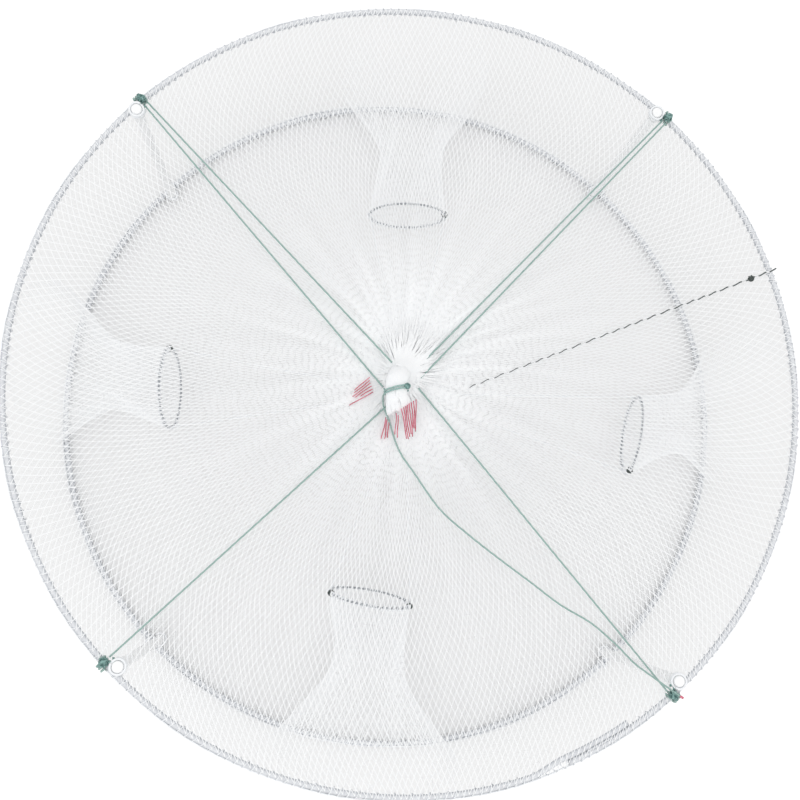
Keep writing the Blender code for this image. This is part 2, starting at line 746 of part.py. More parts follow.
def build_upper_frame():
    """The upper ring with the top net, its neck, the bridle and the tail cord."""
    frame = add_empty("upper_frame", (0, 0, UPPER_Z))
    lapped_ring("upper_ring", steel, frame)
    lap_weld("lap_weld", steel, frame)
    top_net(white_net, frame)
    neck_bundle(white_net, frame)
    neck_tie(green_cord, frame)
    tail_cord(green_cord, frame)
    seam_cord(dark_twine, frame)
    seam_knot(dark_twine, frame)
    for corner, azimuth in UPRIGHTS.items():
        lashing(f"ring_knot_{corner}", azimuth, 3, 2, green_cord, frame)
    for leg, (corner, beside, reach_from, rise) in BRIDLE_LEGS.items():
        bridle_leg(f"bridle_{leg}", corner, beside, reach_from, rise, green_cord, frame)


def build_throats():
    """Throat rings with their knots, the strings that hold them and the funnels that lead to them."""
    frame = add_empty("throat_stays", (0, 0, THROAT_HEIGHT))
    stay_knot(white_cord, frame)
    for compass, place in THROATS.items():
        hinge = add_empty(f"throat_{compass}", throat_frame(place)[0] - frame.location, frame)
        throat_ring(f"throat_ring_{compass}", place, dark_wire, hinge)
        for side_name, hand in (("a", -1), ("b", 1)):
            stay(f"stay_{compass}_{side_name}", place, hand, white_cord, frame)
            if hand in place["knots"]:
                throat_knot(f"throat_knot_{compass}_{side_name}", place, hand, dark_twine, hinge)
        funnel(f"funnel_{compass}", MOUTHS[compass], place, white_net)


clear_scene()
trap = bpy.data.collections.new("folding_shrimp_trap")
bpy.context.scene.collection.children.link(trap)
steel = material("galvanised steel wire", (0.56, 0.58, 0.61), 0.42, 1.0)
dark_wire = material("dark tied wire", (0.16, 0.17, 0.18), 0.5, 0.8)
white_net = material("white nylon net", (0.90, 0.92, 0.94), 0.55)
white_cord = material("white nylon string", (0.88, 0.90, 0.92), 0.6)
green_cord = material("green polyethylene cord", (0.05, 0.24, 0.19), 0.5)
dark_twine = material("dark twine", (0.05, 0.06, 0.06), 0.7)
white_plastic = material("white plastic rod", (0.93, 0.93, 0.93), 0.35)

build_lower_frame()
build_upper_frame()
build_throats()
for corner_name, corner_azimuth in UPRIGHTS.items():
    upright(f"upright_{corner_name}", corner_azimuth, white_plastic)
bpy.context.view_layer.update()
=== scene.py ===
# %% [markdown]
# # A folding shrimp trap
# The trap is two wire rings held apart by four white rods, with a skin of knotted white net all
# round. Nearly all of it is string, so this lesson builds one thing well, a tube along a line, and
# uses it for wire, cords, knots and every bar of the net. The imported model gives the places.

import math

import bpy
import numpy as np
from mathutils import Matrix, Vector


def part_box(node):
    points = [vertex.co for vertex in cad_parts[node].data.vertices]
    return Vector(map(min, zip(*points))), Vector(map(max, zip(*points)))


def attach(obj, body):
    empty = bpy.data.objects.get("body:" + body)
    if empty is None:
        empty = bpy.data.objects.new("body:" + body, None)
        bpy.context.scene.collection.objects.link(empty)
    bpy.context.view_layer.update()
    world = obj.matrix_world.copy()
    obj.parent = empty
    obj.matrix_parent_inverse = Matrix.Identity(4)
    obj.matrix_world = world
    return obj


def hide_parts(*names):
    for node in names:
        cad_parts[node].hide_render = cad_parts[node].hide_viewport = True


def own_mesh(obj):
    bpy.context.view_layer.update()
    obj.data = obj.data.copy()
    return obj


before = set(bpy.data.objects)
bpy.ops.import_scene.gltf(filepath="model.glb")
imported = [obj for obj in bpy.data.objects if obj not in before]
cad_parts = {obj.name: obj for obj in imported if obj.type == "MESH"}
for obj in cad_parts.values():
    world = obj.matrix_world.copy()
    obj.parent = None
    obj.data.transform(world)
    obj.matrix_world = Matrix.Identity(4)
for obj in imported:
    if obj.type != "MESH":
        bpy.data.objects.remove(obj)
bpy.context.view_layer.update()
scene = bpy.context.scene
show = scene.collection.objects.link


def middle_height(node):
    """Half way between a node's lowest and highest point."""
    low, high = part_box(node)
    return (low.z + high.z) / 2


lower_z = middle_height("lower_ring")
upper_z = middle_height("upper_ring")
ring_radius = 0.300
wire_radius = 0.002
upward = (0, 0, 1)
print(f"rings at {1000 * lower_z:.1f} and {1000 * upper_z:.1f} mm")

# %% [markdown]
# ## The camera
# The photographer stood over the trap and looked almost straight down, a little from the south
# west. Two circles of one known size, the rings, pin such a view down: their pictures are ellipses,
# and only one place and tilt of the camera gives both.

# %% Camera over the trap
camera_data = bpy.data.cameras.new("camera")
camera_data.sensor_width = 36
camera_data.lens = 38.46
camera = bpy.data.objects.new("camera", camera_data)
camera.location = (-0.0739, -0.1215, 0.7947)
camera.rotation_euler = (0.1611, -0.0973, 0)
show(camera)
scene.camera = camera
scene.view_settings.view_transform = "Standard"
print("camera", [round(value, 3) for value in camera.location])

# %% [markdown]
# ## Tubes
# A tube is a circle carried along a line. Blender's curves can do it, but a function on whole
# arrays makes ten thousand net bars as fast as one rope, and it can twist the section as it goes,
# which turns a circle of three lobes into a laid cord.


# %% Tube and mesh helpers
lobe_depth = 0.26
spline_parts = 24


def unit(vectors):
    """Each vector divided by its own length."""
    return vectors / np.linalg.norm(vectors, axis=-1, keepdims=True)


def polar(radius, turn, z):
    """Points at radius cos turn, radius sin turn, z."""
    return np.stack([radius * np.cos(turn), radius * np.sin(turn), z + 0 * turn], axis=-1)


def full_turn(count):
    """Angles evenly spaced once round."""
    return np.linspace(0, 2 * np.pi, count, endpoint=False)


def tubes(lines, radius, sides, sideways, closed=False, lobes=0, lay=0.0):
    """Points and faces of tubes along one line, or along many of equal count.

    With w along the line, u = sideways made square to w and v = w x u, the surface at angle a is
    line + r (u cos a + v sin a), with a flat of the section facing sideways. With lobes, r swells and
    shrinks as |cos(lobes (a - turn) / 2)| and turn grows by a full circle every lay, as the
    strands of a laid cord do.
    """
    lines = np.array(lines, float, ndmin=3)
    if closed:
        along = np.roll(lines, -1, axis=1) - np.roll(lines, 1, axis=1)
    else:
        along = np.gradient(lines, axis=1)
    w = unit(along)
    side = np.broadcast_to(np.asarray(sideways, float), lines.shape)
    u = unit(side - (side * w).sum(-1, keepdims=True) * w)
    v = np.cross(w, u)
    count, steps = lines.shape[:2]
    angle = np.broadcast_to(2 * np.pi * (np.arange(sides) + 0.5) / sides, (count, steps, sides))
    r = np.broadcast_to(np.asarray(radius, float), (count, steps))[..., None]
    if lobes:
        walked = np.concatenate(
            [np.zeros((count, 1)), np.linalg.norm(np.diff(lines, axis=1), axis=2).cumsum(1)], axis=1
        )
        turn = 2 * np.pi * walked[..., None] / lay
        r = r * (1 - lobe_depth + lobe_depth * np.abs(np.cos(lobes * (angle - turn) / 2)))
    across = u[:, :, None] * np.cos(angle)[..., None] + v[:, :, None] * np.sin(angle)[..., None]
    points = lines[:, :, None] + r[..., None] * across
    index = np.arange(count * steps * sides).reshape(count, steps, sides)
    near = index if closed else index[:, :-1]
    far = np.roll(index, -1, axis=1) if closed else index[:, 1:]
    quads = np.stack([near, np.roll(near, -1, axis=2), np.roll(far, -1, axis=2), far], axis=-1)
    faces = [quads.reshape(-1, 4)]
    if not closed:
        faces += [index[:, 0, ::-1], index[:, -1]]
    return points.reshape(-1, 3), faces


def skinned(grid):
    """A grid of rings of points as a closed skin: quads between the rings and a cap at each end."""
    index = np.arange(grid.shape[0] * grid.shape[1]).reshape(grid.shape[:2])
    near, far = index[:-1], index[1:]
    quads = np.stack([near, np.roll(near, -1, axis=1), np.roll(far, -1, axis=1), far], axis=-1)
    return grid.reshape(-1, 3), [quads.reshape(-1, 4), index[:1, ::-1], index[-1:]]


def joined(*parts):
    """Several sets of points and faces as one."""
    points = []
    faces = []
    shift = 0
    for part_points, part_faces in parts:
        points.append(part_points)
        faces += [block + shift for block in part_faces]
        shift += len(part_points)
    return np.concatenate(points), faces


def make_piece(name, shape, finish, body, replaces=(), smooth=True):
    """Turn points and face blocks into an object that rides on a body of the frame."""
    points, faces = shape
    mesh = bpy.data.meshes.new(name)
    mesh.vertices.add(len(points))
    mesh.vertices.foreach_set("co", points.astype(np.float32).ravel())
    sizes = np.concatenate([np.full(len(block), block.shape[1]) for block in faces])
    corners = np.concatenate([block.ravel() for block in faces])
    mesh.loops.add(len(corners))
    mesh.loops.foreach_set("vertex_index", corners.astype(np.int32))
    mesh.polygons.add(len(sizes))
    mesh.polygons.foreach_set("loop_start", (np.cumsum(sizes) - sizes).astype(np.int32))
    mesh.update(calc_edges=True)
    if smooth:
        mesh.shade_smooth()
    else:
        mesh.shade_flat()
    mesh.materials.append(finish)
    made = bpy.data.objects.new(name, mesh)
    show(made)
    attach(made, body)
    if replaces:
        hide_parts(*replaces)
    print(f"{name}: {int((sizes - 2).sum())} triangles")
    return made


def smooth_line(points, step):
    """Even points on a cardinal spline through the given ones, one every step."""
    given = np.asarray(points, float)
    ends = np.vstack([2 * given[0] - given[1], given, 2 * given[-1] - given[-2]])
    a, b, c, d = (ends[k : len(ends) - 3 + k, None] for k in range(4))
    t = np.linspace(0, 1, spline_parts, endpoint=False)[None, :, None]
    squared = (2 * a - 5 * b + 4 * c - d) * t**2
    cubed = (3 * b - a - 3 * c + d) * t**3
    fine = 0.5 * (2 * b + (c - a) * t + squared + cubed)
    fine = np.vstack([fine.reshape(-1, 3), given[-1]])
    walked = np.concatenate([[0], np.linalg.norm(np.diff(fine, axis=0), axis=1).cumsum()])
    even = np.linspace(0, walked[-1], max(2, round(walked[-1] / step)) + 1)
    return np.column_stack([np.interp(even, walked, fine[:, k]) for k in range(3)])


def tangle(centre, size, loops=5):
    """A tight knot as one closed line on a torus: three times round it and loops times through it."""
    turn = full_turn(40 * loops)
    out = size * (0.55 + 0.45 * np.cos(loops * turn))
    return polar(out, 3 * turn, 0.7 * size * np.sin(loops * turn)) + centre


# %% [markdown]
# ## Materials
# Each finish starts from what the real thing is made of. Colours are written as they look on a
# screen, in hex, and one function turns them into the linear light that the shader works in.


# %% Material helpers
def linear(hex_colour):
    """The sRGB curve undone: c / 12.92 below 0.04045, ((c + 0.055) / 1.055) ^ 2.4 above."""
    channels = [int(hex_colour[k : k + 2], 16) / 255 for k in (1, 3, 5)]
    return (*[c / 12.92 if c <= 0.04045 else ((c + 0.055) / 1.055) ** 2.4 for c in channels], 1.0)


def add_node(material, kind, settings=None, links=None):
    """Add a shader node, set its properties and sockets, and link sockets from other nodes."""
    node = material.node_tree.nodes.new("ShaderNode" + kind)
    for key, value in (settings or {}).items():
        if isinstance(key, str) and hasattr(node, key):
            setattr(node, key, value)
        else:
            node.inputs[key].default_value = value
    for socket, source in (links or {}).items():
        material.node_tree.links.new(source, node.inputs[socket])
    return node


def ranged(material, value, **ends):
    """An output stretched from from_min and from_max to to_min and to_max, 0 and 1 if not given."""
    settings = {key.replace("_", " ").title(): end for key, end in ends.items()}
    return add_node(material, "MapRange", settings, {"Value": value}).outputs["Result"]


def mixed(material, first, second, share):
    """The colour output of a mix of two colours, the second of which may be another output."""
    node = add_node(material, "Mix", {"data_type": "RGBA"}, {0: share})
    sockets = [socket for socket in node.inputs if socket.type == "RGBA"]
    for socket, colour in zip(sockets, (first, second)):
        if isinstance(colour, tuple):
            socket.default_value = colour
        else:
            material.node_tree.links.new(colour, socket)
    return [socket for socket in node.outputs if socket.type == "RGBA"][0]


def finish_of(name, dark, pale, grain_mm, roughness, bump=0.2, painted_shade_colour=None, sheen=0.0):
    """A Principled finish whose colour wanders between two hex colours, and a bump of its grain.

    Where a shade colour is given, faces that look sideways or down take it instead: painted shade.
    """
    material = bpy.data.materials.new(name)
    material.use_nodes = True
    link = material.node_tree.links.new
    shader = material.node_tree.nodes["Principled BSDF"]
    shader.inputs["Sheen Weight"].default_value = sheen
    where = add_node(material, "TexCoord")
    noise = {"Scale": 1000 / grain_mm, "Detail": 4.0, "Roughness": 0.6}
    grain = add_node(material, "TexNoise", noise, {"Vector": where.outputs["Object"]}).outputs["Fac"]
    spread = ranged(material, grain, from_min=0.35, from_max=0.65)
    colour = mixed(material, linear(dark), linear(pale), spread)
    # Painted shade: faces that look sideways or down are mixed towards the darker shade colour.
    if painted_shade_colour:
        split = add_node(material, "SeparateXYZ", {}, {"Vector": where.outputs["Normal"]})
        unshaded_share = ranged(material, split.outputs["Z"], from_min=0.45, from_max=0.9)
        colour = mixed(material, linear(painted_shade_colour), colour, unshaded_share)
    link(colour, shader.inputs["Base Color"])
    rough = ranged(material, grain, to_min=roughness - 0.08, to_max=roughness + 0.08)
    link(rough, shader.inputs["Roughness"])
    relief = {"Strength": bump, "Distance": grain_mm / 4000}
    raised = add_node(material, "Bump", relief, {"Height": grain})
    link(raised.outputs["Normal"], shader.inputs["Normal"])
    return material


# %% [markdown]
# The net is multifilament nylon, heat set and bleached: a soft, nearly white fibre with a faint
# sheen. The cord is laid from green polyethylene split film, which is waxy and streaked. The wire
# is hot galvanised, so its zinc has gone matt with small cloudy patches. The rods are extruded
# polyethylene. The red is dyed fibre.

# %% The finishes
net_nylon = finish_of("bleached_nylon_net", "#F6F8FA", "#FEFEFE", 0.8, 0.7, sheen=0.1)
lacing_nylon = finish_of("nylon_lacing_twine", "#EEF1F5", "#FBFCFD", 0.6, 0.6, bump=0.4, sheen=0.1)
dyed_nylon = finish_of("red_dyed_nylon", "#BC2C4C", "#E68DA0", 5.0, 0.6)
green_polyethylene = finish_of("green_split_film_cord", "#7A9D95", "#AAC2BC", 0.7, 0.45, bump=0.6)
green_knots = finish_of("wet_set_knots_of_green_cord", "#234E4C", "#94BAB4", 2.2, 0.5, bump=0.6)
tied_green = finish_of("tight_green_cord", "#7AA39C", "#B4CEC9", 0.7, 0.5, bump=0.6)
dark_twine = finish_of("dark_tarred_twine", "#2B3132", "#6B7471", 0.6, 0.75, bump=0.6)
# The wire's sideways and downward faces get a darker colour: painted shade on the round wire.
galvanised = finish_of("galvanised_wire_with_painted_shade", "#D6D8DC", "#E6E8EB", 3.0, 0.5, 0.15, painted_shade_colour="#C6C9CE")
coated_wire = finish_of("dark_coated_wire", "#868B90", "#C2C6CA", 1.2, 0.5)
extruded_rod = finish_of("extruded_white_polyethylene", "#F8F9FA", "#FEFEFE", 2.0, 0.45, bump=0.1)
print(len(bpy.data.materials), "materials")

# %% [markdown]
# ## The loose tail
# The cord that ties the neck has a tail of about a third of a metre. It lies over the top net and
# ends bare past the ring, its tip dipped in red. It is laid from three strands of green film, so it
# gets three lobes, each of which goes round once in twelve diameters.

# %% Lie of the top net
cord_diameter = 0.0018
net_bar_radius = 0.0006
clearance = 0.0003
hem_lift = wire_radius + clearance + net_bar_radius
neck_x = -0.012
neck_y = -0.002
neck_rise = 0.0048


def net_height(x, y):
    """The top net's height at a place: it falls in straight lines from the neck to the ring."""
    away = np.stack([np.asarray(x) - neck_x, np.asarray(y) - neck_y], axis=-1)
    a = (away**2).sum(-1)
    b = 2 * (away * (neck_x, neck_y)).sum(-1)
    c = neck_x**2 + neck_y**2 - ring_radius**2
    reach = (-b + np.sqrt(b * b - 4 * a * c)) / (2 * np.maximum(a, 1e-9))
    return upper_z + neck_rise + (hem_lift - neck_rise) / reach


# %% Tail cord
cord_twist = 3 * 4 * cord_diameter
drawn_radius = 0.00068
fine_step = 0.0007
tip_steps = 5


def laid_cord(line, radius, sides=12, sideways=upward):
    """A tube whose three lobes each go round once in twelve diameters of the cord."""
    return tubes(line, radius, sides, sideways, lobes=3, lay=cord_twist)


tail_route = np.array([
    (-0.0262, -0.0180, 0.0166),
    (-0.0264, -0.0186, 0.0125),
    (-0.0262, -0.0212, 0.0068),
    (-0.0252, -0.0264, 0.0046),
    (-0.0216, -0.0344, 0.0022),
    (-0.0142, -0.0565, 0.0018),
    (-0.0020, -0.0748, 0.0018),
    (0.0164, -0.1003, 0.0018),
    (0.0385, -0.1196, 0.0018),
    (0.0604, -0.1364, 0.0018),
    (0.0830, -0.1530, 0.0018),
    (0.1042, -0.1688, 0.0018),
    (0.1270, -0.1822, 0.0020),
    (0.1450, -0.1976, 0.0024),
    (0.1576, -0.2105, 0.0036),
    (0.1716, -0.2208, 0.0046),
    (0.1848, -0.2300, 0.0046),
    (0.1926, -0.2352, 0.0044),
])
tail_points = tail_route.copy()
tail_points[:, 2] += net_height(tail_route[:, 0], tail_route[:, 1]) + net_bar_radius + clearance
tail_line = smooth_line(tail_points, fine_step)
tail_cord = laid_cord(tail_line, drawn_radius)
tail = make_piece(
    "neck_cord_tail", tail_cord, green_polyethylene, "upper_frame", ("tail_cord",)
)
tip_cord = tubes(tail_line[-tip_steps:], cord_diameter / 2, 12, upward)
tip = make_piece("neck_cord_tip", tip_cord, dyed_nylon, "upper_frame")

# %% [markdown]
# ## The rings
# The upper ring is one length of wire bent round a little more than once: its last stretch steps
# inward and lies beside its start, where the two are welded. The lower ring is the same wire. The
# wire itself hardly shows, because the nets' edges are laced to it all the way round.

# %% Ring wires
lap_start = -68.8
lap_length = 10.0
lap_jog = 6.0
lap_offset = 2 * wire_radius + clearance
turned = np.linspace(0, 360 + lap_length, 520)
stepped = np.clip((turned - (360 - lap_jog)) / lap_jog, 0, 1)
ease = stepped**2 * (3 - 2 * stepped)
upper_line = polar(ring_radius - lap_offset * ease, np.radians(lap_start + turned), upper_z)
lower_line = polar(ring_radius, full_turn(480), lower_z)
upper_wire = tubes(upper_line, wire_radius, 14, upward)
lower_wire = tubes(lower_line, wire_radius, 14, upward, closed=True)
make_piece("upper_ring_wire", upper_wire, galvanised, "upper_frame", ("upper_ring",))
make_piece("lower_ring_wire", lower_wire, galvanised, "lower_frame", ("lower_ring",))
weld_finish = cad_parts["lap_weld"].data.materials
weld_finish.clear()
weld_finish.append(galvanised)

# %% [markdown]
# ## Lacing
# A white twine winds round the ring and round the nets' edge cords, one turn to each mesh. From
# above it reads as a row of white dashes over grey wire. It is a helix bent into a circle: a point
# turns round the wire while its place on the wire moves on.

# %% Lacing and edge cords
upper_twine = 0.00045
lower_twine = 0.0008
lacing_reach = 0.0027
lacing_turns = 300
edge_radius = 0.0006
edge_reach = 0.0026


def lacing_line(z, wander):
    """A helix round the ring: turn the point by lacing_turns while it goes once about the axis."""
    around = full_turn(lacing_turns * 9)
    uneven = 0.5 * np.sin(7 * around + wander) + 0.35 * np.sin(23 * around + 2 * wander)
    wound = lacing_turns * around + uneven
    reach = lacing_reach + 0.0002 * np.sin(31 * around + wander)
    return polar(ring_radius + reach * np.cos(wound), around, z + reach * np.sin(wound))


def edge_cord(z, wander):
    """The nets' edge cord, which hangs on the outside of the wire."""
    around = full_turn(900)
    waves = 0.0004 * np.sin(17 * around + wander) + 0.00012 * np.sin(150 * around)
    height = z - 0.0004 + 0.0004 * np.cos(29 * around + wander)
    return polar(ring_radius + edge_reach + waves, around, height)


levels = (("upper", upper_z, 0.0, upper_twine), ("lower", lower_z, 1.7, lower_twine))
for level, z, wander, twine in levels:
    wound = tubes(lacing_line(z, wander), twine, 5, upward, closed=True)
    cord = tubes(edge_cord(z, wander), edge_radius, 6, upward, closed=True)
    make_piece(f"{level}_lacing", joined(wound, cord), lacing_nylon, f"{level}_frame")

# %% [markdown]
# ## The net
# Knotted net is rows of knots. Each row stands half a mesh round from the last, and every knot is
# joined to the two nearest in the next row by a bar of one length. Where the net is drawn in, as
# round the neck, the meshes only get narrower and longer. So one function places the knots, and one
# makes bars and knots from them.

# %% Net helpers
net_columns = 340
mesh_bar = 0.0055
bar_radius = 0.00023
knot_radius = 0.00046


def net_knots(surface, rows, columns, closed):
    """surface(u, v) at u = column, plus a half in odd rows, and v = row."""
    count = columns if closed else columns + 1
    v, u = np.meshgrid(np.arange(rows + 1.0), np.arange(float(count)), indexing="ij")
    return surface(u + 0.5 * (v % 2), v)


def net_bars(knots, closed):
    """Pairs of ends, one bar from each knot to each of its two neighbours in the next row."""
    rows, count = knots.shape[0] - 1, knots.shape[1]
    row, k = np.meshgrid(np.arange(rows), np.arange(count), indexing="ij")
    odd = row % 2
    pairs = []
    for step in (0, 1):
        other = k + step - (1 - odd)
        inside = (k < count - odd) & (other >= 0) & (other < count - (1 - odd))
        keep = inside | closed
        pairs.append(np.stack([knots[row, k][keep], knots[row + 1, other % count][keep]], axis=1))
    return np.concatenate(pairs)


def net_shape(knots, bars, thickness):
    """Three-sided bars, and a small eight-sided lump on every knot."""
    bar_tubes = tubes(bars, bar_radius * thickness, 3, upward)
    axes = np.concatenate([np.eye(3), -np.eye(3)]) * knot_radius * thickness
    lumps = (knots[:, None] + axes).reshape(-1, 3)
    corner = np.array([
        (0, 1, 2), (1, 3, 2), (3, 4, 2), (4, 0, 2), (1, 0, 5), (3, 1, 5), (4, 3, 5), (0, 4, 5),
    ])
    lump_faces = (corner + 6 * np.arange(len(knots))[:, None, None]).reshape(-1, 3)
    return joined(bar_tubes, (lumps, [lump_faces]))


def pulled_rows(inner):
    """Radii of the rows of a net drawn in from the ring to a middle.

    A bar of fixed length spans half a mesh sideways, so it reaches sqrt(bar^2 - half^2) inwards.
    """
    radii = [ring_radius]
    while radii[-1] > inner:
        half = np.pi * radii[-1] / net_columns
        radii.append(radii[-1] - math.sqrt(mesh_bar**2 - half**2))
    return np.array(radii)


def crowded(turn, inside):
    """Azimuths drawn together into broad folds and fine pleats, more so towards the middle."""
    folds = 0.22 * np.sin(turn - 1.35) + 0.07 * np.sin(2 * turn - 2.3)
    pleats = 0.010 * np.sin(24 * turn + 1) + 0.005 * np.sin(43 * turn + 2)
    return turn - inside**2 * (folds + pleats)


def bent(turn, inside):
    """Azimuths of columns that leave the ring north to south and then bend towards the neck."""
    lean = 0.07 * (1 - np.exp(-inside / 0.12)) + 0.45 * inside * (1 - 1.4 * inside**2)
    return turn + (0.14 - lean) * np.sin(2 * turn)


def ruffled(turn, inside):
    """How far a knot sits from its row's circle, since no two meshes are drawn in alike."""
    waves = np.sin(37 * turn + 11 * inside) + np.sin(59 * turn - 17 * inside)
    return 0.0012 * np.minimum(3 * inside, 1) * waves


quarters = ("northeast", "northwest", "southwest", "southeast")


def quarter_of(points, number):
    """Whether each point lies in one quarter of the trap, counted from east."""
    turn = np.degrees(np.arctan2(points[..., 1], points[..., 0])) % 360
    return (turn // 90).astype(int) == number


def net_in_quarters(name, surface, radii, body, thickness):
    """A closed round net as four pieces; the node of that name is hidden."""
    knots = net_knots(surface, len(radii) - 1, net_columns, True)
    bars = net_bars(knots, True)
    knots = knots.reshape(-1, 3)
    for number, quarter in enumerate(quarters):
        own_bars = bars[quarter_of(bars.mean(1), number)]
        shape = net_shape(knots[quarter_of(knots, number)], own_bars, thickness)
        made = make_piece(f"{name}_{quarter}", shape, net_nylon, body, smooth=False)
    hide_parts(name)


# %% [markdown]
# ## Top and floor nets
# The top net runs from the upper ring to the neck, which is tied a little to the west of the
# middle. It is stretched tight, with slow waves where the meshes were drawn in unevenly. The floor
# net is drawn to a knot in its middle and lies on the ground inside the lower ring.

# %% Top net
neck_opening = 0.013
top_radii = pulled_rows(neck_opening)


def top_surface(u, v):
    """Neck + share (ring - neck), with the columns crowded and the rows ruffled."""
    share = np.interp(v, np.arange(len(top_radii)), top_radii / ring_radius)
    turn = 2 * np.pi * u / net_columns
    inside = 1 - share
    share = share + ruffled(turn, inside) / ring_radius
    turn = crowded(bent(turn, inside), inside)
    x = neck_x + share * (ring_radius * np.cos(turn) - neck_x)
    y = neck_y + share * (ring_radius * np.sin(turn) - neck_y)
    dip = 0.0006 * (1 + np.sin(9 * turn + 20 * share)) * np.minimum(8 * inside, 1)
    return np.stack([x, y, net_height(x, y) - dip], axis=-1)


net_in_quarters("top_net", top_surface, top_radii, "upper_frame", thickness=1.15)

# %% Floor net
floor_opening = 0.014
floor_lift = 0.0016
floor_radii = pulled_rows(floor_opening)


def floor_surface(u, v):
    """Rings of the drawn-in radii, just over the ground and lifted onto the wire at the edge."""
    radius = np.interp(v, np.arange(len(floor_radii)), floor_radii)
    turn = 2 * np.pi * u / net_columns
    inside = 1 - radius / ring_radius
    radius = radius + ruffled(turn, inside)
    turn = crowded(bent(turn, inside) + 2.0, inside) - 2.0
    height = floor_lift + (lower_z + hem_lift - floor_lift) * np.exp(-inside * ring_radius / 0.010)
    height = height + 0.0009 * (1 + np.sin(7 * turn + 18 * inside)) * np.minimum(6 * inside, 1)
    return polar(radius, turn, height)


net_in_quarters("floor_net", floor_surface, floor_radii, "lower_frame", thickness=0.85)

# %% [markdown]
# ## Walls
# Between the mouths the wall is a plain panel of the same net, laced to the outside of both rings.
# A mouth is an egg with its broad end down, where the shrimps walk in, so the panels' ends follow
# that curve. When the trap folds, each panel goes slack and flattens with the ring's drop.

# %% Wall nets
mouths = {"north": (87.9, 12.5), "west": (175.0, 12.5), "south": (263.8, 14.5), "east": (359.0, 12.5)}
squareness = 0.7
egg = 1.7
hem_reach = 0.0032
wall_belly = 0.0040
wall_radius = ring_radius + hem_reach
wall_height = upper_z - lower_z


def folding_net(name, surface, rows, columns, closed, thickness, node):
    """A net as one piece on the lower frame, with a mesh of its own."""
    knots = net_knots(surface, rows, columns, closed)
    shape = net_shape(knots.reshape(-1, 3), net_bars(knots, closed), thickness)
    made = make_piece(name, shape, net_nylon, "lower_frame", (node,), smooth=False)
    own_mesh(made)


beside_panels = ("east", "north", "west", "south", "east")
mesh_pitch = 2 * np.pi * ring_radius / net_columns
half_pitch = mesh_pitch / 2
wall_rows = 2 * round(wall_height / math.sqrt(mesh_bar**2 - half_pitch**2) / 2)
for panel, before, after in zip(quarters, beside_panels, beside_panels[1:]):
    first, first_half = mouths[before]
    last, last_half = mouths[after]
    last += 360 * (last < first)
    columns = round(math.radians(last - first) * wall_radius / mesh_pitch) - 6

    def wall_surface(u, v):
        """An upright part of a cylinder whose ends follow the egg-shaped mouths beside it.

        At share s of the mouth's warped height its half width is (1 - |2s - 1|^(2/q))^(q/2).
        """
        up = v / wall_rows
        warped = up ** (1 / egg)
        beside = np.maximum(1 - np.abs(2 * warped - 1) ** (2 / squareness), 0) ** (squareness / 2)
        start = first + first_half * beside
        end = last - last_half * beside
        turn = np.radians(start + (end - start) * np.clip(u / columns, 0, 1))
        turn = turn + 0.004 * np.sin(3 * np.pi * up) * np.sin(9 * turn)
        radius = wall_radius - wall_belly * np.sin(np.pi * up) ** 2
        return polar(radius, turn, lower_z + wall_height * up)

    folding_net(f"wall_{panel}", wall_surface, wall_rows, columns, False, 0.5, f"wall_net_{panel}")

# %% [markdown]
# ## Funnels and throat rings
# Each mouth takes up the whole height of the wall. Its net is drawn in to a narrow waist and then
# opens a little to a small wire ring that hangs on strings in the middle of the trap: a shrimp
# walks up the slope, drops through and can't find the way back. The net is a loft from the egg of
# the mouth to a circle.

# %% Throat places
throats = {
    "north": (89.4, 0.158, -3.5),
    "west": (179.6, 0.195, 6.0),
    "south": (260.2, 0.171, 8.0),
    "east": (350.5, 0.199, -6.0),
}
throat_radius = 0.033
throat_wire_radius = 0.0008
throat_height = middle_height("stay_knot")


def throat_axes(compass):
    """A throat ring's centre, and its sideways, upward and outward directions."""
    azimuth, distance, lean = throats[compass]
    turn = math.radians(azimuth)
    out = np.array([math.cos(turn), math.sin(turn), 0])
    side = np.array([-math.sin(turn), math.cos(turn), 0])
    tilt = math.radians(lean)
    up = np.array([0, 0, 1]) * math.cos(tilt) + out * math.sin(tilt)
    centre = out * distance + (0, 0, throat_height)
    return centre, side, up, np.cross(side, up)


# %% Funnel nets
funnel_columns = 92
funnel_rows = 28
funnel_draw = 2.2
funnel_waist = 0.42
funnel_wave = 0.0022
rim_radius = ring_radius + 0.0005


def funnel_surface(compass):
    """A loft from the egg of the mouth through a waist to the throat ring.

    The rim is a superellipse, its power q the squareness, whose height share s becomes s^egg.
    """
    azimuth, half_angle = mouths[compass]
    centre, side, up = throat_axes(compass)[:3]
    low = lower_z + hem_reach
    high = upper_z - hem_reach
    mouth_middle = polar(rim_radius, np.radians(azimuth), (low + high) / 2)

    def surface(u, v):
        turn = 2 * np.pi * (u + 0.5) / funnel_columns
        t = v / funnel_rows
        narrow = (1 - (1 - t) ** funnel_draw)[..., None]
        waist = 1 - funnel_waist * np.sin(np.pi * t) ** 2
        across = np.sign(np.cos(turn)) * np.abs(np.cos(turn)) ** squareness
        along = np.sign(np.sin(turn)) * np.abs(np.sin(turn)) ** squareness
        rim_height = low + (high - low) * ((1 + along) / 2) ** egg
        rim = polar(rim_radius, np.radians(azimuth + half_angle * across), rim_height)
        circle = np.cos(turn)[..., None] * side + np.sin(turn)[..., None] * up
        axis = mouth_middle + (centre - mouth_middle) * t[..., None]
        wave = funnel_wave * np.sin(7 * turn + 11 * t) * np.sin(np.pi * t)
        size = (throat_radius * waist + wave)[..., None]
        return axis + (rim - mouth_middle) * (1 - narrow) + circle * (size * narrow)

    return surface


for compass in throats:
    name, node = f"funnel_net_{compass}", f"funnel_{compass}"
    folding_net(name, funnel_surface(compass), funnel_rows, funnel_columns, True, 0.9, node)

# %% [markdown]
# A throat ring is thin dark wire with the funnel's last meshes laced over it in white, so it looks
# like a dashed line, and one half of it, upper or lower, is all but hidden. Small knots of dark
# twine sit beside its hinge line, where the strings tie on.

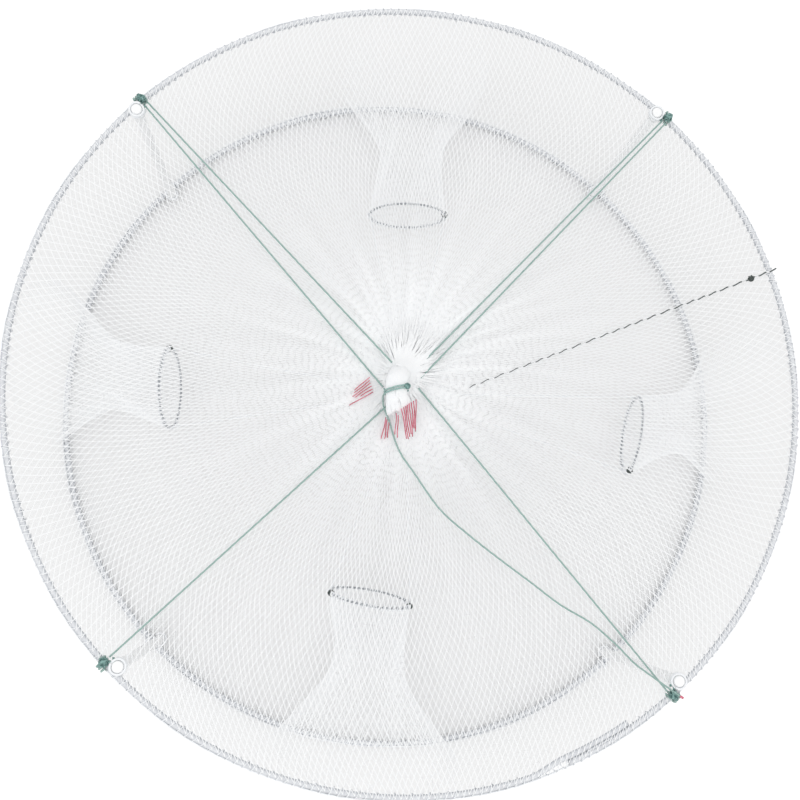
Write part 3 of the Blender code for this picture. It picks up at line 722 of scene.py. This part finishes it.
# %% Throat rings, lacing and knots
throat_lacing_turns = 54
throat_lacing_reach = 0.0014
throat_knot_turn = 2 * np.pi * 4
throat_knot_reach = 0.0022
throat_knot_twine = 0.00045
around = full_turn(96)
dense = full_turn(throat_lacing_turns * 9)
knot_steps = np.linspace(0, 1, 60)
knotted = {"north": (-1,), "west": (-1,), "south": (-1, 1), "east": (-1,)}
hidden_half = {"north": -1, "west": 1, "south": 1, "east": -1}


def throat_circle(compass, angles, reach, wound):
    """Points on the throat ring's circle, moved reach away from it at the angle wound."""
    centre, side, up, normal = throat_axes(compass)
    outward = np.cos(angles)[:, None] * side + np.sin(angles)[:, None] * up
    away = np.cos(wound)[:, None] * outward + np.sin(wound)[:, None] * normal
    return centre + throat_radius * outward + reach * away


for compass in throats:
    side, up, normal = throat_axes(compass)[1:]
    body = f"throat_{compass}"
    wire = throat_circle(compass, around, 0.0, 0 * around)
    wire = tubes(wire, throat_wire_radius, 8, normal, closed=True)
    node = f"throat_ring_{compass}"
    make_piece(f"throat_wire_{compass}", wire, coated_wire, body, (node,))
    turned = throat_lacing_turns * dense + 0.4 * np.sin(9 * dense)
    wound = throat_circle(compass, dense, throat_lacing_reach, turned)
    twine = 0.00055 + 0.0003 * hidden_half[compass] * np.sin(dense)
    lacing = tubes(wound, twine, 5, normal, closed=True)
    make_piece(f"throat_lacing_{compass}", lacing, lacing_nylon, body)
    for hand in knotted[compass]:
        letter = "b" if hand > 0 else "a"
        angles = (0 if hand > 0 else np.pi) + hand * np.radians(15 + 7 * (knot_steps - 0.5))
        coil = throat_circle(compass, angles, throat_knot_reach, throat_knot_turn * knot_steps)
        coil = tubes(coil, throat_knot_twine, 6, side * hand * 0.2 + up + 0.3 * normal)
        node = f"throat_knot_{compass}_{letter}"
        make_piece(f"throat_twine_{compass}_{letter}", coil, dark_twine, body, (node,))

# %% [markdown]
# ## Strings
# Two white strings run from each throat ring to one knot in the middle, and pull the four rings
# towards each other so that the funnels stay open. They are laid twine, so they get lobes too.


# %% Stay strings and their knot
string_radius = 0.00055
string_twist = 0.008
stay_knot_size = 0.0033
stay_knot_twine = 0.0009
end_slice = 0.0004


def ends_of(node):
    """The two ends of a straight cord of the frame: the means of the vertices furthest each way."""
    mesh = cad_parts[node].data
    points = np.empty(len(mesh.vertices) * 3)
    mesh.vertices.foreach_get("co", points)
    points = points.reshape(-1, 3)
    middle = points.mean(0)
    way = np.linalg.svd(points - middle, full_matrices=False)[2][0]
    along = (points - middle) @ way
    first = points[along < along.min() + end_slice].mean(0)
    return first, points[along > along.max() - end_slice].mean(0)


for compass in throats:
    for letter in ("a", "b"):
        node = f"stay_{compass}_{letter}"
        line = smooth_line(ends_of(node), 0.0012)
        string = tubes(line, string_radius, 6, upward, lobes=2, lay=string_twist)
        name = f"stay_string_{compass}_{letter}"
        make_piece(name, string, lacing_nylon, "throat_stays", (node,))
middle_knot = tangle((0, 0, throat_height), stay_knot_size, loops=7)
middle_knot = tubes(middle_knot, stay_knot_twine, 6, (0.3, 0.2, 1), closed=True)
make_piece("stay_knot_twine", middle_knot, lacing_nylon, "throat_stays", ("stay_knot",))

# %% [markdown]
# ## Uprights
# The four rods are cut from extruded white plastic rod with their ends rounded over. Each is a
# turned profile: a straight side and a quarter circle at each end, carried round the rod's axis.

# %% Rods
upright_azimuths = dict(zip(quarters, (48.2, 136.9, 225.1, 310.4)))
rod_radius = 0.004
rod_edge = 0.0012
rod_cap = 0.0006


def rod(node):
    """A turned rod that fills the node's box: radius as a function of height, carried round."""
    low, high = (np.array(corner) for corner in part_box(node))
    middle = (low + high) / 2
    bend = np.linspace(0, np.pi / 2, 6)
    inner = rod_radius - rod_edge
    rounded = [inner + rod_edge * np.sin(bend), inner + rod_edge * np.cos(bend)]
    radius = np.concatenate([[rod_cap], *rounded, [rod_cap]])
    height = np.concatenate([
        [low[2]],
        low[2] + rod_edge * (1 - np.cos(bend)),
        high[2] - rod_edge * (1 - np.sin(bend)),
        [high[2]],
    ])
    line = np.stack([0 * height + middle[0], 0 * height + middle[1], height], axis=-1)
    return skinned(line[:, None] + radius[:, None, None] * polar(1, full_turn(28), 0))


for corner in upright_azimuths:
    node = f"upright_{corner}"
    make_piece(f"rod_{corner}", rod(node), extruded_rod, f"{corner}_upright", (node,))

# %% [markdown]
# ## Knots at the rods
# Twine lashes each rod to both rings: turns round the wire on the clockwise side of the rod, then
# turns round the rod over the wire. The path is worked out in a frame that stands at the rod, x out
# of the trap, y along the ring and z up, and then turned to its place. The green cord of the bridle
# is knotted beside the upper ends.

# %% Lashings
cord_radius = cord_diameter / 2
coil_gap = 0.0005
coil_step = 0.0006
ring_flat = 0.00023
wrap_radius = hem_lift + net_bar_radius + 2 * clearance + cord_radius
tight_radius = wire_radius + clearance + cord_radius
upright_inset = wire_radius + clearance + rod_radius + ring_flat
collar_radius = rod_radius + clearance + cord_radius
wrap_start = rod_radius + 2 * clearance + cord_radius
wrap_pitch = cord_diameter + coil_gap


def ring_turns_line(turns):
    """Turns round the wire beside the rod, wide over the edge cord and tight under it."""
    left = turns - np.linspace(0, turns, turns * 28)
    angle = np.radians(90 - 360 * left)
    out, over = np.cos(angle), np.sin(angle)
    x = out * np.where(out > 0, wrap_radius, tight_radius)
    z = over * np.where(over > 0, wrap_radius, tight_radius)
    return smooth_line(np.stack([x, -wrap_start - wrap_pitch * left, z], axis=-1)[::2], coil_step)


def collar_line(turns):
    """Turns round the rod, over the wire."""
    t = np.linspace(0, turns, turns * 28)
    angle = np.radians(90 + 360 * t)
    x = collar_radius * np.cos(angle) - upright_inset
    y = -collar_radius * np.sin(angle)
    return smooth_line(np.stack([x, y, wrap_radius + wrap_pitch * t], axis=-1)[::2], coil_step)


def stand_at(points, azimuth, z):
    """Turn points from the rod's own frame to its place on a ring."""
    turn = math.radians(azimuth)
    east, north = math.cos(turn), math.sin(turn)
    turned = np.array([[east, north, 0], [-north, east, 0], [0, 0, 1]])
    return points @ turned + (ring_radius * east, ring_radius * north, z)


off_axis = (0.31, 0.17, 0.93)


def cord_at(line, azimuth, z):
    """A laid cord along a line of the rod's own frame, set at its place on a ring."""
    return laid_cord(stand_at(line, azimuth, z), cord_radius, 9, off_axis)


knot_size = 0.0029
knot_twine = 0.0008
knot_place = (-0.0012, -wrap_start - 1.5 * wrap_pitch, wrap_radius + 0.0008)
knot_lump = tangle(knot_place, knot_size, loops=7)
inner_end = [(-0.0030, -0.0070, 0.0055), (-0.0062, -0.0052, 0.0062), (-0.0082, -0.0068, 0.0056)]
outer_end = [(0.0003, -0.0085, 0.0052), (0.0022, -0.0102, 0.0060), (0.0034, -0.0094, 0.0046)]
loose_ends = [smooth_line(end, coil_step) for end in (inner_end, outer_end)]
for corner, azimuth in upright_azimuths.items():
    node = f"lower_lashing_{corner}"
    lower = [cord_at(line, azimuth, lower_z) for line in (ring_turns_line(2), collar_line(1))]
    make_piece(f"{node}_twine", joined(*lower), lacing_nylon, "lower_frame", (node,))
    collar = cord_at(collar_line(2), azimuth, upper_z)
    make_piece(f"collar_{corner}_twine", collar, lacing_nylon, "upper_frame")
    turns = cord_at(ring_turns_line(3), azimuth, upper_z)
    make_piece(f"ring_turns_{corner}_cord", turns, green_polyethylene, "upper_frame")
    node = f"ring_knot_{corner}"
    lump = tubes(stand_at(knot_lump, azimuth, upper_z), knot_twine, 7, off_axis, closed=True)
    knot = joined(lump, *(cord_at(line, azimuth, upper_z) for line in loose_ends))
    make_piece(f"{node}_cord", knot, green_knots, "upper_frame", (node,))

# %% [markdown]
# ## Bridle
# Six legs of the cord run from the upper knots to the foot of the neck and hold it in the middle.

# %% Bridle legs
for leg in ("northwest_a", "northwest_b", "northeast_a", "northeast_b", "southwest", "southeast"):
    node = f"bridle_{leg}"
    cord = laid_cord(smooth_line(ends_of(node), fine_step), drawn_radius)
    make_piece(f"bridle_cord_{leg}", cord, green_polyethylene, "upper_frame", (node,))

# %% [markdown]
# ## Seam
# The top net's two edges are joined by a dark twine that dips under and over the meshes, so from
# above it is a dashed line. It heads a little past the neck, is drawn thin that way and has a small
# knot near the ring.

# %% Seam
seam_azimuth = 17.6
seam_overhang = 0.004
seam_end_azimuth = -7.6
seam_end_reach = 0.052
seam_cord = 0.0010
seam_stitch = 0.0110
seam_half_width = 0.0004
seam_knot_reach = 0.024
seam_outer = polar(ring_radius + seam_overhang, np.radians(seam_azimuth), 0)
seam_inner = polar(seam_end_reach, np.radians(seam_end_azimuth), 0) + (neck_x, neck_y, 0)
seam_way = unit(seam_outer - seam_inner)
seam_length = np.linalg.norm(seam_inner - seam_outer)
reach = np.linspace(0, seam_length, 900)
seam_side = np.array([-seam_way[1], seam_way[0], 0])
seam_bed = seam_outer - seam_way * reach[:, None]
seam_bed[:, 2] = net_height(seam_bed[:, 0], seam_bed[:, 1]) + 0.0006
selvedge = [seam_bed + seam_side * beside for beside in (-seam_half_width, seam_half_width)]
stitch = 2 * np.pi * reach / seam_stitch + 0.8 * np.sin(reach / seam_stitch)
seam_line = seam_bed + seam_side * seam_half_width * np.cos(stitch)[:, None]
seam_line[:, 2] += 0.0006 + 0.0012 * np.sin(stitch)
seam_radius = seam_cord / 2 * (1 - 0.45 * reach / seam_length)
selvedge = tubes(selvedge, 0.00035, 6, upward)
make_piece("seam_selvedge", selvedge, net_nylon, "upper_frame")
twine = tubes(seam_line, seam_radius, 6, upward)
make_piece("seam_twine", twine, dark_twine, "upper_frame", ("seam_cord",))
knot_at = seam_outer - seam_way * seam_knot_reach
knot_at[2] = net_height(knot_at[0], knot_at[1]) + 0.0022
knot = tubes(tangle(knot_at, 0.0021), 0.0006, 6, off_axis, closed=True)
make_piece("seam_knot_twine", knot, dark_twine, "upper_frame", ("seam_knot",))

# %% [markdown]
# ## The neck
# The net is gathered into a bundle that rises out of its middle, bends over to the south and is
# tied flat. Past the tie it flares into a tuft. A pleated core keeps the bundle from showing
# daylight, and a few hundred fibres along the same path give it the look of gathered net.

# %% Neck path
neck_bend = 0.010
neck_lean = -0.0055
skirt_radius = 0.0178
neck_radius = 0.0075
fibre_radius = 0.00035


def neck_stations():
    """Centres, directions, half widths and half heights along the neck, from the net to the tuft."""
    rows = []
    bend_z = neck_rise + neck_bend
    for height in np.linspace(neck_rise - 0.0006, bend_z, 6):
        share = min(max((height - neck_rise) / neck_bend, 0.0), 1.0)
        radius = skirt_radius + (neck_radius - skirt_radius) * share**0.6
        lean = 0.25 * neck_lean * max(share - 0.65, 0) / 0.35
        rows.append((neck_x + lean, neck_y, height, 0, 0, 1, radius, radius))
    for degrees, lean in ((30, 0.6), (60, 0.9), (90, 1.0)):
        turn = math.radians(degrees)
        y = neck_y - neck_bend * (1 - math.cos(turn))
        z = bend_z + neck_bend * math.sin(turn)
        way = (0, -math.sin(turn), math.cos(turn))
        rows.append((neck_x + neck_lean * lean, y, z, *way, neck_radius, neck_radius))
    x, y, z = rows[-1][:3]
    for forward, east, drop, wide, tall in (
        (0.007, 0.0, 0.0, 0.0075, 0.0075),
        (0.012, 0.0015, 0.001, 0.0090, 0.0080),
        (0.018, 0.0035, 0.003, 0.0105, 0.0075),
        (0.023, 0.0050, 0.005, 0.0105, 0.0065),
    ):
        rows.append((x + east, y - forward, z - drop, 0, -1, 0, wide, tall))
    return np.array(rows)


stations = neck_stations()


def along_neck(t):
    """Stations read at t from 0 to 1 by straight interpolation between them, column by column."""
    at = np.linspace(0, 1, len(stations))
    read = np.stack([np.interp(t, at, stations[:, k]) for k in range(8)], axis=-1)
    centre = read[..., :3] + (0, 0, upper_z)
    return centre, unit(read[..., 3:6]), read[..., 6], read[..., 7]


def neck_point(t, angle, share):
    """A point of the bundle at share of the section's half width and half height."""
    centre, way, wide, tall = along_neck(t)
    east = np.array([1.0, 0.0, 0.0])
    over = np.cross(way, np.broadcast_to(east, way.shape))
    return (
        centre
        + east * (wide * share * np.cos(angle))[..., None]
        + over * (tall * share * np.sin(angle))[..., None]
    )


# %% Neck core and fibres
def slanting_end(angle):
    """Where the bundle stops, as a share of its length: sooner on the east side, and ragged."""
    return 0.94 - 0.05 * (1 + np.cos(angle)) + 0.008 * np.sin(13 * angle)


t, angle = np.meshgrid(np.linspace(0, 1, 60), full_turn(120), indexing="ij")
pleat = 0.90 - 0.07 * np.abs(np.sin(10.5 * angle + 1.3 * np.sin(6 * t))) - 0.03 * np.sin(5 * angle)
core = skinned(neck_point(t * slanting_end(angle), angle, pleat))

fibres = np.random.default_rng(7)
fibre_count = 420
fibre_angle = 2 * np.pi * fibres.random(fibre_count)[:, None]
fibre_share = 0.93 + 0.07 * fibres.random(fibre_count)[:, None]
fibre_phase = 2 * np.pi * fibres.random(fibre_count)[:, None]
t = np.linspace(0, 1, 44) * (slanting_end(fibre_angle) + 0.03 * fibres.random((fibre_count, 1)))
wander = 0.12 * np.sin(9 * t + fibre_phase) + 0.25 * (t - 0.5) * np.cos(fibre_phase)
fibre_lines = neck_point(t, fibre_angle + wander, np.broadcast_to(fibre_share, t.shape))
bundle = joined(core, tubes(fibre_lines, fibre_radius, 3, (0.4, 0.1, 0.9)))
make_piece(
    "neck_gathered_net", bundle, net_nylon, "upper_frame", ("neck_bundle",), smooth=False
)

# %% [markdown]
# Round the neck's foot the drawn meshes pile up like a small tent and run out over the net as bright
# ridges, most of them to the north and the south. Beside the tie a few ends are dyed red.

# %% Gathered ridges and dyed ends
ridge_count = 420
ridge_start = 0.0055
ridge_turn = np.concatenate([
    fibres.normal(math.radians(66), 0.60, 170),
    fibres.normal(math.radians(255), 0.5, 120),
    2 * np.pi * fibres.random(130),
])[:, None]
ridge_end = 0.030 + 0.070 * fibres.random((ridge_count, 1)) ** 1.6
pile = 0.0030 + 0.0150 * np.exp(-((np.cos(ridge_turn - math.radians(62)) - 1) ** 2) / 0.3)
t = np.linspace(0, 1, 14) ** 1.5
away = ridge_start + (ridge_end - ridge_start) * t
strayed = 0.10 * (fibres.random((ridge_count, 1)) - 0.5) * t
ridge_turn = ridge_turn + strayed + 0.02 * np.sin(12 * t + 9 * ridge_end)
leaning = -0.27 * pile * np.exp(-(away - ridge_start) / 0.006)
x = neck_x + away * np.cos(ridge_turn) + leaning
y = neck_y + away * np.sin(ridge_turn)
heap = pile * np.exp(-(away - ridge_start) / 0.0095)
lift = 0.0008 + heap + 0.0002 * np.sin(27 * ridge_turn + 8 * t)
ridges = np.stack([x, y, net_height(x, y) + lift], axis=-1)
ridge_radius = 0.00016 + 0.00044 * np.exp(-(away - ridge_start) / 0.012)
ridge_tubes = tubes(ridges, ridge_radius, 3, upward)
make_piece("neck_ridges", ridge_tubes, net_nylon, "upper_frame", smooth=False)


def dyed_ends(count, uneven, starts, ends):
    """Straight loose ends, fanned evenly from one short line to another, uneven in length."""
    spread = np.linspace(0, 1, count)[:, None]
    first, last = (line[0] + (line[1] - line[0]) * spread for line in np.array([starts, ends]))
    last = last + (first - last) * uneven * fibres.random((count, 1))
    t = np.linspace(0, 1, 10)[None, :, None]
    lines = first[:, None] + (last - first)[:, None] * t
    lines[..., 0] += 0.0003 * np.sin(5 * t[..., 0] + 7 * spread)
    lines[..., 2] += upper_z + 0.002 * t[..., 0] * (1 - t[..., 0])
    return tubes(lines, 0.00042, 4, (0.2, 0.1, 1))


fans = (
    (8, 0.25, ((-0.0146, -0.0300, 0.0315), (-0.0040, -0.0230, 0.0300)),
     ((-0.0084, -0.0530, 0.0170), (-0.0026, -0.0450, 0.0170))),
    (2, 0.1, ((-0.0172, -0.0315, 0.0210), (-0.0160, -0.0330, 0.0210)),
     ((-0.0176, -0.0480, 0.0170), (-0.0158, -0.0500, 0.0170))),
    (3, 0.3, ((-0.0236, -0.0330, 0.0075), (-0.0215, -0.0360, 0.0075)),
     ((-0.0276, -0.0530, 0.0065), (-0.0226, -0.0530, 0.0065))),
    (6, 0.5, ((-0.0332, -0.0140, 0.0070), (-0.0360, -0.0030, 0.0070)),
     ((-0.0515, -0.0248, 0.0062), (-0.0490, -0.0150, 0.0062))),
)
dyed = joined(*(dyed_ends(*fan) for fan in fans))
make_piece("dyed_ends", dyed, dyed_nylon, "upper_frame")

# %% Neck tie
tie_turns = 2.5
tie_pitch = cord_diameter + 0.0001
tie_tilt = 0.21
tie_reach = 0.0030
t = np.linspace(0, tie_turns, 140)
angle = 2 * np.pi * t + np.pi
tie_radius = neck_radius + clearance + cord_radius
tie_height = upper_z + neck_rise + 2 * neck_bend
tie_middle = np.array([neck_x + neck_lean, neck_y - neck_bend - tie_reach, tie_height])
east = tie_radius * np.cos(angle)
north = tie_tilt * east + (tie_turns / 2 - t) * tie_pitch
tie_line = tie_middle + np.stack([east, north, tie_radius * np.sin(angle)], axis=-1)
tie_knot = tangle(tie_middle + (0.0074, 0.0016, 0.0062), 0.0018)
tie_cord = laid_cord(tie_line, drawn_radius, 10, (0, 1, 0))
make_piece("neck_tie_cord", tie_cord, tied_green, "upper_frame", ("neck_tie",))
tie_lump = tubes(tie_knot, 0.0007, 7, off_axis, closed=True)
make_piece("neck_tie_knot", tie_lump, green_knots, "upper_frame")

# %% Floor gather
t, angle = np.meshgrid(np.linspace(0, 1, 16), full_turn(90), indexing="ij")
gather_low, gather_high = (np.array(corner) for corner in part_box("floor_gather"))
gather_radius = (gather_high[0] - gather_low[0]) / 2
radius = gather_radius * (1 - t) + 0.0004
folds = 0.93 + 0.07 * np.sin(24 * angle + 3 * t)
height = gather_low[2] + (gather_high[2] - gather_low[2]) * np.sin(np.pi / 2 * t) * folds
gathered = skinned(polar(radius, angle, height))
make_piece("floor_gathered_net", gathered, net_nylon, "lower_frame", ("floor_gather",))

# %% [markdown]
# ## Floor and light
# The trap stands on pale ground that runs out of the picture. Inside a circle that fits the trap's
# outline it gets no glow and stays light grey, a painted shadow under the trap that also carries the
# net's soft shadow; round it the ground is brightened to plain white.
# The light is a bright overcast: an even world, and one broad lamp high over the camera.

# %% Ground
# Painted shadow: inside a circle that fits the trap's outline the ground gets no glow, so a grey disc
# lies under the trap.
painted_shadow_centre = (0.0193, 0.0317, 0.0)
painted_shadow_radius = 0.374
painted_shadow_edge = 0.008
ground_glow = 0.25
ground_mesh = bpy.data.meshes.new("ground")
ground_mesh.from_pydata([(-6, -6, 0), (6, -6, 0), (6, 6, 0), (-6, 6, 0)], [], [(0, 1, 2, 3)])
ground = bpy.data.objects.new("ground", ground_mesh)
show(ground)
ground_white = bpy.data.materials.new("white_ground_with_painted_shadow")
ground_white.use_nodes = True
ground_white.node_tree.nodes.clear()
diffuse = add_node(ground_white, "BsdfDiffuse", {"Color": (0.88, 0.88, 0.88, 1.0)})
ray = add_node(ground_white, "LightPath")
rays = {0: ray.outputs["Is Camera Ray"], 1: ray.outputs["Is Glossy Ray"]}
seen = add_node(ground_white, "Math", {"operation": "MAXIMUM"}, rays)
place = {0: add_node(ground_white, "TexCoord").outputs["Object"]}
away = add_node(ground_white, "VectorMath", {"operation": "DISTANCE", 1: painted_shadow_centre}, place)
edge = {"from_min": painted_shadow_radius, "from_max": painted_shadow_radius + painted_shadow_edge}
# Glow only outside that circle; inside it the ground keeps the painted shadow.
glow_beyond_painted_shadow = ranged(ground_white, away.outputs["Value"], **edge, to_max=ground_glow)
lift = add_node(ground_white, "Math", {"operation": "MULTIPLY"}, {0: seen.outputs[0], 1: glow_beyond_painted_shadow})
glow = add_node(ground_white, "Emission", {}, {"Strength": lift.outputs[0]})
both = add_node(ground_white, "AddShader", {}, {0: diffuse.outputs[0], 1: glow.outputs[0]})
add_node(ground_white, "OutputMaterial", {}, {"Surface": both.outputs[0]})
ground_mesh.materials.append(ground_white)

# %% World and lamp
world = bpy.data.worlds.new("overcast")
world.use_nodes = True
sky = world.node_tree.nodes["Background"]
sky.inputs["Color"].default_value = (1, 1, 1, 1)
ray = add_node(world, "LightPath")
sky_strength = ranged(world, ray.outputs["Is Camera Ray"], to_min=0.85)
world.node_tree.links.new(sky_strength, sky.inputs["Strength"])
scene.world = world
lamp_data = bpy.data.lights.new("broad_lamp", "AREA")
lamp_data.shape = "DISK"
lamp_data.size = 1.4
lamp_data.energy = 12.0
lamp = bpy.data.objects.new("broad_lamp", lamp_data)
lamp.location = (-0.3, -0.45, 2.4)
show(lamp)
